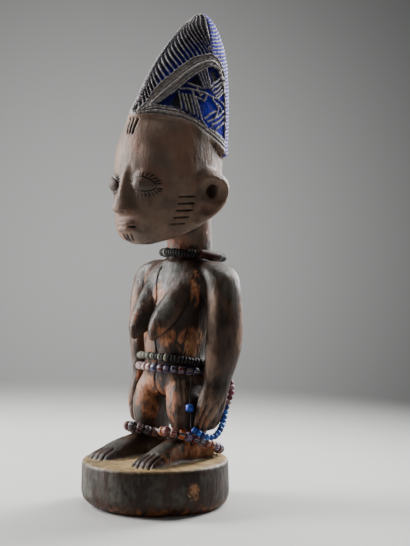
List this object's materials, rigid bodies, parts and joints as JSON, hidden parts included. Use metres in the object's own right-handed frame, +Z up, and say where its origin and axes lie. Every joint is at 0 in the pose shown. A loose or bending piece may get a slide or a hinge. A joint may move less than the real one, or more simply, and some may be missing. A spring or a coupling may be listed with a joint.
{
  "type": "ibeji figure",
  "caption": "Carved wooden standing woman on a round base, with a tall plaited crest of hair and strings of glass beads at neck, waist, hand and ankles.",
  "frame": {"origin": "centre of the base's flat underside", "axes": "+Z up, the figure faces -Y and its left hand is on the +X side"},
  "size_m": [0.0832, 0.092, 0.2761],
  "materials": {
    "carved_wood": "handled dark patina with traces of blue and red powder",
    "dark_beads": "worn dark glass",
    "striped_beads": "worn opaque glass with stripes",
    "blue_beads": "opaque glass"
  },
  "bodies": {
    "root": {"figure": "carved_wood", "necklace": "dark_beads", "dark_waist_beads": "dark_beads", "striped_waist_beads": "striped_beads", "right_anklet": "striped_beads", "left_anklet": "striped_beads", "hanging_beads": "blue_beads"}
  },
  "joints": []
}
